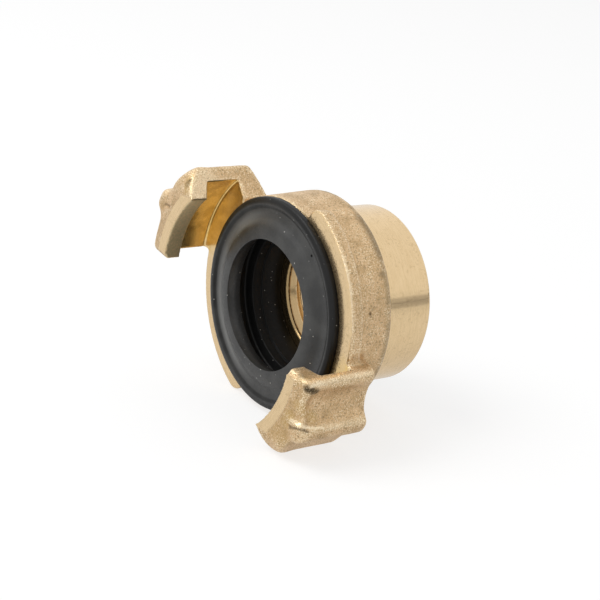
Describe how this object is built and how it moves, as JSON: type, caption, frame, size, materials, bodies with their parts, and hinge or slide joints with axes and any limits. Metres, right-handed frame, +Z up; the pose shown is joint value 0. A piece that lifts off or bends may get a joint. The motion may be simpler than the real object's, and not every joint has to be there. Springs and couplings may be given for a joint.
{
  "type": "claw hose coupling",
  "caption": "Brass quick coupling half with hooked claws, a rubber face seal and a female pipe thread behind.",
  "frame": {"origin": "on the coupling's axis, in the plane of the rear face, at the mouth of the pipe thread", "axes": "+Y along the axis out of the pipe thread, claws facing -Y, +Z up as the coupling lies"},
  "size_m": [0.0494, 0.0326, 0.0392],
  "materials": {
    "brass_casting": "sand-cast skin, with turned faces, channel and socket",
    "seal_rubber": "matte moulded black rubber"
  },
  "bodies": {
    "root": {"coupling_body": "brass_casting", "form_seal": "seal_rubber"}
  },
  "joints": []
}
